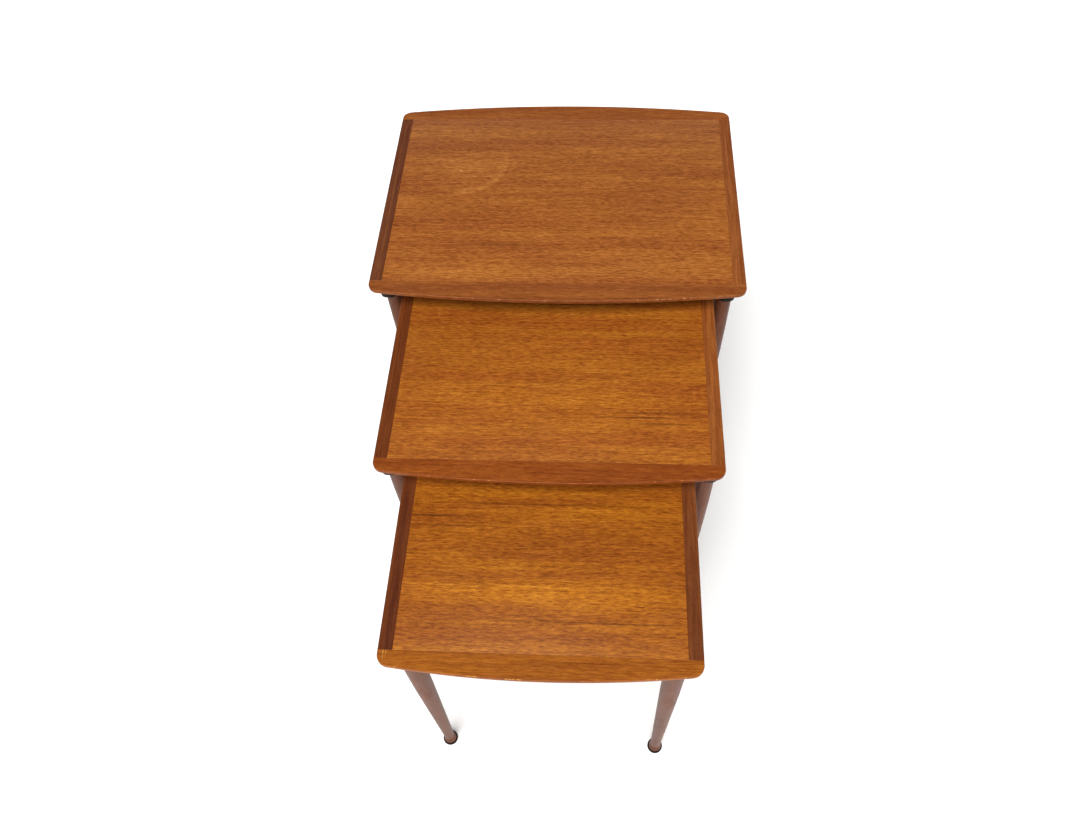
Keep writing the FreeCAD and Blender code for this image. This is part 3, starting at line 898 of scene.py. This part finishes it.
@dataclass
class Underframe:
    """The turned legs and glides under one top, and the finishes of its rails, aprons and fasteners."""

    table: str
    finishes: Finishes
    leg_radius: float = 13 * MM
    ankle_radius: float = 7.2 * MM
    ankle_height: float = 16 * MM
    foot_radius: float = 9 * MM
    foot_height: float = 6 * MM
    foot_ease: float = 0.5 * MM
    foot_roundness: float = 0.35
    curve_length: float = 120 * MM
    parallel_margin: float = 15 * MM
    tenon_radius: float = 7 * MM
    glide_radius: float = 11 * MM
    glide_ease: float = 0.9 * MM
    recess_radius: float = 2.65 * MM
    recess_depth: float = 1.4 * MM
    pole_radius: float = 0.2 * MM
    sides: int = 64
    foot_points: int = 9
    taper_points: int = 40
    curve_points: int = 26
    glide_points: int = 6

    def __post_init__(self) -> None:
        """Read the levels that the legs are turned to."""
        self.rail_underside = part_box(f"{self.table}_left_rail")[0].z
        self.apron_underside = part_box(f"{self.table}_left_apron")[0].z

    def leg_profile(self, foot: float, tenon_top: float) -> np.ndarray:
        """Radius and height up a leg: a flat foot with an eased rim, drawn in to the ankle partly by a
        quarter circle and partly by a square, then a straight taper, a long curve by a square into the
        parallel length, a shoulder and a tenon.

        Args:
            foot: height of the foot's flat underside.
            tenon_top: height of the tenon's end.

        Returns:
            The profile.
        """
        parallel = self.apron_underside - self.parallel_margin
        taper_height = parallel - self.curve_length / 2 - self.ankle_height
        slope = (self.leg_radius - self.ankle_radius) / taper_height
        gain = slope * self.curve_length / 2
        rise, spread = self.ankle_height - self.foot_height, self.foot_radius - self.ankle_radius
        lift = np.linspace(0.0, 1.0, self.foot_points)
        quarter = self.foot_roundness * (1 - np.sqrt(1 - lift ** 2))
        square = (1 - self.foot_roundness) * lift ** 2
        drawn_in = np.stack([self.foot_radius - spread * (quarter + square),
                             self.foot_height + rise * lift], axis=1)
        taper = np.linspace([self.ankle_radius, self.ankle_height],
                            [self.leg_radius - gain, parallel - self.curve_length], self.taper_points)[1:]
        climb = np.linspace(0.0, 1.0, self.curve_points)[1:]
        curve = np.stack([self.leg_radius - gain * (1 - climb) ** 2,
                          parallel - self.curve_length * (1 - climb)], axis=1)
        top = np.array([[self.leg_radius, self.rail_underside - self.foot_ease],
                        [self.leg_radius - self.foot_ease, self.rail_underside],
                        [self.tenon_radius, self.rail_underside],
                        [self.tenon_radius, tenon_top]])
        start = np.array([[self.foot_radius - self.foot_ease, foot],
                          [self.foot_radius, foot + self.foot_ease]])
        return np.concatenate([start, drawn_in, taper, curve, top])

    def make_leg(self, leg: str) -> bpy.types.Object:
        """One turned leg on the axis of its node.

        Args:
            leg: its end and side, such as "front_left_leg".

        Returns:
            The piece.
        """
        low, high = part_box(f"{self.table}_{leg}")
        points, faces = turned(self.leg_profile(low.z, high.z), self.sides)
        middle = (low + high) / 2
        points = points + np.array([middle.x, middle.y, 0])
        return make_piece(f"{self.table}_{leg}_turned", points, faces, sharp=40.0)

    def make_glides(self) -> bpy.types.Object:
        """Four rounded discs with a recess under each for its nail, in one piece.

        Returns:
            The piece.
        """
        low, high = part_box(f"{self.table}_glides")
        height, ease = high.z - low.z, self.glide_ease
        profile = np.concatenate([
            [[self.pole_radius, self.recess_depth], [self.recess_radius, self.recess_depth]],
            [[self.recess_radius, 0.0]],
            arc((self.glide_radius - ease, ease), ease, -90, 0, self.glide_points),
            arc((self.glide_radius - ease, height - ease), ease, 0, 90, self.glide_points),
            [[self.pole_radius, height]],
        ])
        points, faces = turned(profile, self.sides)
        centres = [((low.x if sx < 0 else high.x) - sx * self.glide_radius,
                    (low.y if sy < 0 else high.y) - sy * self.glide_radius, low.z)
                   for sx in SIDES.values() for sy in ENDS.values()]
        every = np.concatenate([points + np.array(centre) for centre in centres])
        shifted = [[corner + index * len(points) for corner in face]
                   for index in range(len(centres)) for face in faces]
        return make_piece(f"{self.table}_glides_moulded", every, shifted)

    def build(self, shared: dict[str, bpy.types.Material]) -> None:
        """Make, dress and place the legs and glides, and dress what stays of the frame.

        Args:
            shared: finishes that every table has in common, by material slot.
        """
        body = f"{self.table}_table"
        for end in ENDS:
            for side in SIDES:
                leg = f"{end}_{side}_leg"
                low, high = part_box(f"{self.table}_{leg}")
                place_piece(self.make_leg(leg), body, f"{self.table}_{leg}",
                            self.finishes.leg.build((low + high) / 2))
        place_piece(self.make_glides(), body, f"{self.table}_glides", shared["glide_black"])
        for side in SIDES:
            self.dress(f"{side}_rail", shared["rail_black"])
            self.dress(f"{side}_apron", self.finishes.apron.build(Vector()))
        rear = replace(self.finishes.apron, name=f"{self.table}_rear_apron_wood", grain=Grain.SIDEWAYS)
        self.dress("rear_apron", rear.build(Vector()))
        for node, finish in (("top_core", "panel_core"), ("glide_nails", "fastener_steel"),
                             ("top_screws", "fastener_steel"), ("apron_dowels", "dowel_wood")):
            self.dress(node, shared[finish])

    def dress(self, node: str, finish: bpy.types.Material) -> None:
        """Give a node of the frame a finish.

        Args:
            node: its name without the table's.
            finish: its material.
        """
        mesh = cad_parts[f"{self.table}_{node}"].data
        mesh.materials.clear()
        mesh.materials.append(finish)
        log.info("%s_%s is dressed in %s", self.table, node, finish.name)


# ---- studio


@dataclass(frozen=True)
class FarLight:
    """A soft light so far off that it falls evenly: the way to it, and how many degrees wide it looks."""

    name: str
    towards: tuple[float, float, float]
    spread: float
    strength: float


@dataclass(frozen=True)
class Studio:
    """A pale floor, soft light and the camera. Angles are in degrees."""

    lens_mm: float = 29.23
    sensor_mm: float = 36.0
    pitch: float = 56.26
    yaw: float = -5.89
    roll: float = 3.81
    eye: tuple[float, float, float] = (0.0571, -0.7288, 1.4186)
    floor_colour: Colour = (0.96, 0.96, 0.955)
    floor_shade: float = 0.985
    floor_clouds_per_metre: float = 3.0
    floor_dullness: float = 0.9
    floor_half: float = 6.0
    sky_colour: Colour = (1.0, 0.985, 0.955)
    zenith: float = 0.10
    horizon: float = 1.0
    dim_from: float = 0.45
    lights: tuple[FarLight, ...] = (FarLight("key", (-0.14, -0.45, 0.88), 44.0, 4.2),
                                    FarLight("fill", (0.60, -0.50, 0.62), 60.0, 0.60))

    def build(self) -> None:
        """Make the floor, the lights and the camera."""
        self.make_floor()
        self.make_sky()
        for far_light in self.lights:
            self.make_far_light(far_light)
        self.make_camera()
        bpy.context.scene.view_settings.view_transform = "Standard"

    def make_floor(self) -> None:
        """A plain pale floor with the faintest mottling."""
        half = self.floor_half
        corners = [(-half, -half, 0), (half, -half, 0), (half, half, 0), (-half, half, 0)]
        mesh = bpy.data.meshes.new("floor")
        mesh.from_pydata(corners, [], [[0, 1, 2, 3]])
        floor = bpy.data.objects.new("floor", mesh)
        bpy.context.scene.collection.objects.link(floor)
        shader = Shader.named("pale_floor")
        cloud = shader.noise(shader.scaled(shader.place(), self.floor_clouds_per_metre))
        shade = tuple(self.floor_shade * part for part in self.floor_colour)
        colour = shader.mix(cloud, self.floor_colour, shade)
        mesh.materials.append(shader.finish(colour, self.floor_dullness))

    def make_sky(self) -> None:
        """Light from all round, pale at the horizon and dim overhead, so that the tops mirror little."""
        world = bpy.data.worlds.new("studio")
        sky = Shader(world)
        ray = sky.add("ShaderNodeTexCoord", None, None, "Generated")
        rise = sky.add("ShaderNodeSeparateXYZ", None, {"Vector": ray}, "Z")
        strength = rise.between(self.dim_from, 0.0) * (self.horizon - self.zenith) + self.zenith
        glow = sky.add("ShaderNodeBackground", None,
                       {"Color": (*self.sky_colour, 1.0), "Strength": strength})
        sky.add_output(glow, "ShaderNodeOutputWorld")
        bpy.context.scene.world = world

    def make_far_light(self, far_light: FarLight) -> None:
        """Hang a far light.

        Args:
            far_light: its place and strength.
        """
        light = bpy.data.lights.new(far_light.name, "SUN")
        light.angle = math.radians(far_light.spread)
        light.energy = far_light.strength
        lamp = bpy.data.objects.new(far_light.name, light)
        lamp.rotation_euler = (-Vector(far_light.towards)).to_track_quat("-Z", "Y").to_euler()
        bpy.context.scene.collection.objects.link(lamp)

    def make_camera(self) -> None:
        """The camera: looking forwards and down, turned a little to the left and leaning a little."""
        pitch, yaw, roll = (math.radians(angle) for angle in (self.pitch, self.yaw, self.roll))
        flat = math.cos(pitch)
        forward = Vector((math.sin(yaw) * flat, math.cos(yaw) * flat, -math.sin(pitch)))
        level = Vector((math.cos(yaw), -math.sin(yaw), 0.0))
        below = forward.cross(level)
        right = level * math.cos(roll) + below * math.sin(roll)
        down = below * math.cos(roll) - level * math.sin(roll)
        lens = bpy.data.cameras.new("camera")
        lens.lens = self.lens_mm
        lens.sensor_width = self.sensor_mm
        camera = bpy.data.objects.new("camera", lens)
        turn = Matrix((right, -down, -forward)).transposed()
        camera.matrix_world = Matrix.Translation(self.eye) @ turn.to_4x4()
        bpy.context.scene.collection.objects.link(camera)
        bpy.context.scene.camera = camera


# ---- the nest


# Marks and patches of each veneer, in millimetres from the middle of its top: along x and y, then half a
# length and half a width, then the tone and how strong it is.
MARKS = {
    "large": (
        Patch(-110, -146, 80, 30, Tone.GOLD, 0.45), Patch(140, -20, 90, 80, Tone.RED, 0.45),
        Patch(-20, 150, 200, 14, Tone.RED, 0.25), Patch(-135, 55, 60, 50, Tone.PALE, 0.30),
        Patch(-150, 70, 68, 68, Tone.PALE, 0.75, ring=True), Patch(-150, 51, 2.2, 2.2, Tone.BARE, 0.8),
        Patch(-85, -100, 60, 3.0, Tone.DARK, 0.35), Patch(-100, 56, 60, 2.4, Tone.PALE, 0.4),
    ),
    "middle": (
        Patch(-110, 62, 110, 55, Tone.RED, 0.45), Patch(20, -52, 190, 34, Tone.GOLD, 0.45),
        Patch(150, 40, 70, 60, Tone.RED, 0.35), Patch(0, -135, 210, 16, Tone.RED, 0.4),
        Patch(-195, -30, 60, 130, Tone.RED, 0.45),
        Patch(130, -67, 60, 2.2, Tone.DARK, 0.65), Patch(118, -74, 55, 2.0, Tone.DARK, 0.75),
        Patch(150, -83, 55, 1.8, Tone.DARK, 0.6), Patch(-160, 2, 16, 2.0, Tone.DARK, 0.45),
    ),
    "small": (
        Patch(-165, -20, 55, 110, Tone.RED, 0.55), Patch(160, -10, 60, 110, Tone.RED, 0.75),
        Patch(40, 26, 220, 24, Tone.RED, 0.85), Patch(-10, -42, 220, 18, Tone.GOLD, 0.95),
        Patch(-30, -34, 140, 2.2, Tone.PALE, 0.8), Patch(90, -98, 110, 18, Tone.RED, 0.5),
        Patch(-130, 54, 70, 1.8, Tone.DARK, 0.9), Patch(-118, 41, 70, 1.6, Tone.DARK, 0.65),
        Patch(0, 72, 190, 1.6, Tone.DARK, 0.6), Patch(70, -76, 160, 1.6, Tone.DARK, 0.65),
        Patch(-100, -82, 70, 1.4, Tone.DARK, 0.4),
    ),
}
# Two short scratches across the left end of the small table's front lip.
SCRATCHES = (Patch(-174.5, -118, 0.6, 10, Tone.BARE, 0.8), Patch(-171.5, -116, 0.5, 9, Tone.BARE, 0.6))

# Where each table's woods read the noise, and where its wear starts its random draws.
SEEDS = {"large": 3.0, "middle": 17.0, "small": 29.0}
WEAR_SEEDS = {"large": 50, "middle": 60, "small": 50}

# Chipped stretches of each front edge.
CHIPS = {
    "large": (ChipZone(95, 185, 9), ChipZone(-240, 240, 8, 0.25)),
    "middle": (ChipZone(-190, 200, 9, 0.25),),
    "small": (ChipZone(-70, 0, 8), ChipZone(-170, 170, 8, 0.25)),
}

# Colours of each wood, in linear light: its redder bands, then its golden ones.
FIELDS = {
    "large": ((0.243, 0.069, 0.0125), (0.280, 0.089, 0.0150)),
    "middle": ((0.262, 0.069, 0.0070), (0.300, 0.091, 0.0080)),
    "small": ((0.262, 0.070, 0.0058), (0.318, 0.097, 0.0062)),
}
LIPS = {
    "large": ((0.200, 0.055, 0.0120), (0.228, 0.067, 0.0135)),
    "middle": ((0.198, 0.045, 0.0060), (0.225, 0.055, 0.0068)),
    "small": ((0.235, 0.062, 0.0060), (0.285, 0.082, 0.0066)),
}
STRIPS = {
    ("large", "left"): ((0.098, 0.027, 0.0100), (0.125, 0.037, 0.0130)),
    ("large", "right"): ((0.180, 0.050, 0.0120), (0.225, 0.066, 0.0150)),
    ("middle", "left"): ((0.100, 0.023, 0.0050), (0.135, 0.033, 0.0065)),
    ("middle", "right"): ((0.200, 0.054, 0.0105), (0.235, 0.069, 0.0135)),
    ("small", "left"): ((0.086, 0.019, 0.0050), (0.115, 0.027, 0.0060)),
    ("small", "right"): ((0.118, 0.030, 0.0075), (0.150, 0.041, 0.0095)),
}
APRON = ((0.070, 0.022, 0.010), (0.105, 0.036, 0.017))
LEG = ((0.105, 0.031, 0.011), (0.132, 0.040, 0.015))
BEECH = ((0.50, 0.33, 0.18), (0.64, 0.47, 0.30))

# Blacks, in linear light: as made, then where they are rubbed.
RAIL_BLACK = ((0.010, 0.007, 0.005), (0.026, 0.017, 0.012))
GLIDE_BLACK = ((0.010, 0.006, 0.005), (0.024, 0.015, 0.012))


def table_finishes(table: str) -> Finishes:
    """The finishes of one table, each with its own seed. Its four legs share one figure, each about its
    own middle.

    Args:
        table: its name.

    Returns:
        Its finishes.
    """
    seed = SEEDS[table]
    veneer = Timber(f"{table}_veneer", Grain.SIDEWAYS, *FIELDS[table], seed, MARKS[table])
    lip = Timber(f"{table}_lip_wood", Grain.SIDEWAYS, *LIPS[table], seed + 5.0,
                 SCRATCHES if table == "small" else (),
                 band_width=12.0, row_length=15.0, row_depth=1.7, shine=0.14)
    strips = {side: Timber(f"{table}_{side}_strip_wood", Grain.FORWARDS, *STRIPS[table, side], seed + sign,
                           band_width=7.0, row_length=34.0, row_depth=1.5, shine=0.16)
              for side, sign in SIDES.items()}
    apron = Timber(f"{table}_apron_wood", Grain.FORWARDS, *APRON, seed + 7.0)
    leg = Timber(f"{table}_leg_wood", Grain.UPRIGHT, *LEG, seed + 9.0, band_width=12.0,
                 row_length=30.0, row_depth=1.2, line_share=0.2, dullness=0.42, shine=0.12)
    return Finishes(veneer, lip, strips, apron, leg)


def main() -> None:
    """Build the studio and the three tables."""
    logging.basicConfig(level=logging.INFO, format="%(message)s")
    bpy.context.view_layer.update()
    Studio().build()
    shared = {
        "rail_black": Stain("rail_black_stain", *RAIL_BLACK, 0.45).build(),
        "glide_black": Stain("glide_black_plastic", *GLIDE_BLACK, 0.6, 3.0).build(),
        "panel_core": Chipboard().build(),
        "fastener_steel": DullSteel().build(),
        "dowel_wood": Timber("dowel_beech", Grain.FORWARDS, *BEECH, 77.0,
                             line_share=0.0, dullness=0.7).build(Vector()),
    }
    for table in TABLES:
        finishes = table_finishes(table)
        TableTop(table, finishes, WEAR_SEEDS[table], CHIPS[table]).build()
        Underframe(table, finishes).build(shared)
        log.info("%s table is done", table)


if __name__ == "__main__":
    main()
